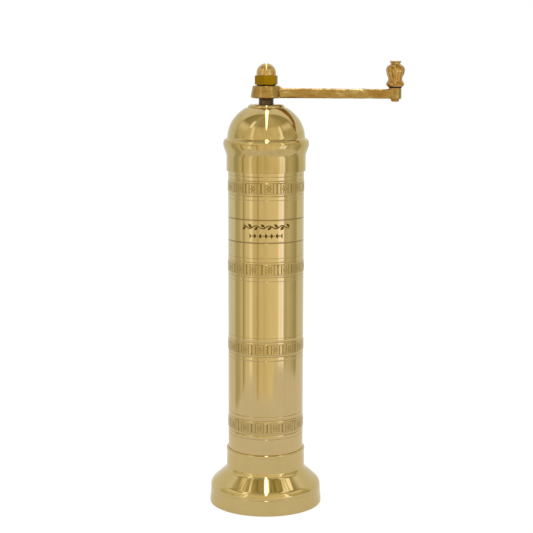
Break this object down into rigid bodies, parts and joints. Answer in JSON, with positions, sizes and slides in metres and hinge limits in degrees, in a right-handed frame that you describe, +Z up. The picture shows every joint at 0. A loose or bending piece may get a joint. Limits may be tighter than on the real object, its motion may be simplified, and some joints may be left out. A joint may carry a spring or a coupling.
{
  "type": "crank table mill",
  "caption": "Slim upright hand mill: straight tube body on a flared foot, domed lift-off filling cap, side crank with turned knob, domed nut and a conical burr set inside.",
  "frame": {"origin": "centre of the foot's resting rim, on the mill's axis", "axes": "+Z up along the mill's axis, +X towards the crank's knob at rest"},
  "size_m": [0.097, 0.057, 0.2246],
  "materials": {
    "polished_brass": "polished",
    "cast_brass": "cast and brushed",
    "nut_brass": "machined",
    "steel": "machined",
    "dark_steel": "oiled and darkened"
  },
  "bodies": {
    "mill_body": {"mill_tube": "polished_brass", "foot": "polished_brass", "upper_bridge": "polished_brass", "bridge_rivets": "polished_brass", "guide_bush": "cast_brass", "burr_carrier": "cast_brass", "burr_ring": "steel", "lower_bridge": "steel", "bridge_screws": "steel", "lock_nut": "steel", "spindle_spring": "steel"},
    "thrust": {"thrust_ball": "steel"},
    "adjuster": {"adjusting_screw": "cast_brass"},
    "drive": {"spindle": "dark_steel", "burr_cone": "steel", "drive_pin": "steel", "spring_seat": "steel", "seat_clip": "steel"},
    "crank": {"crank_arm": "cast_brass", "knob_pin": "nut_brass", "knob_washer": "dark_steel", "nut_washer": "dark_steel"},
    "knob": {"crank_knob": "cast_brass"},
    "nut": {"acorn_nut": "nut_brass"},
    "cap": {"dome_cap": "polished_brass", "cap_bush": "polished_brass", "cap_bush_nut": "polished_brass"}
  },
  "joints": [
    {"name": "thrust_lift", "type": "slide", "parent": "mill_body", "child": "thrust", "axis": [0, 0, 1], "range_m": [-0.0012, 0.001], "deforming": ["spindle_spring"]},
    {"name": "adjuster_turn", "type": "hinge", "parent": "thrust", "child": "adjuster", "pos_m": [0, 0, 0.008], "axis": [0, 0, 1], "range_deg": [-541, 451]},
    {"name": "crank_turn", "type": "hinge", "parent": "thrust", "child": "drive", "pos_m": [0, 0, 0.1], "axis": [0, 0, 1], "continuous": true},
    {"name": "crank_lift", "type": "slide", "parent": "drive", "child": "crank", "axis": [0, 0, 1], "range_m": [0, 0.061]},
    {"name": "knob_spin", "type": "hinge", "parent": "crank", "child": "knob", "pos_m": [0.0638, 0, 0.218], "axis": [0, 0, 1], "continuous": true},
    {"name": "nut_lift", "type": "slide", "parent": "drive", "child": "nut", "axis": [0, 0, 1], "range_m": [0, 0.0703]},
    {"name": "cap_lift", "type": "slide", "parent": "mill_body", "child": "cap", "axis": [0, 0, 1], "range_m": [0, 0.0551]}
  ],
  "couplings": [
    {"joint": "adjuster_turn", "follows": "thrust_lift", "rad_per_m": 7854},
    {"joint": "nut_lift", "follows": "crank_lift", "ratio": 1.15},
    {"joint": "cap_lift", "follows": "crank_lift", "ratio": 0.9}
  ]
}
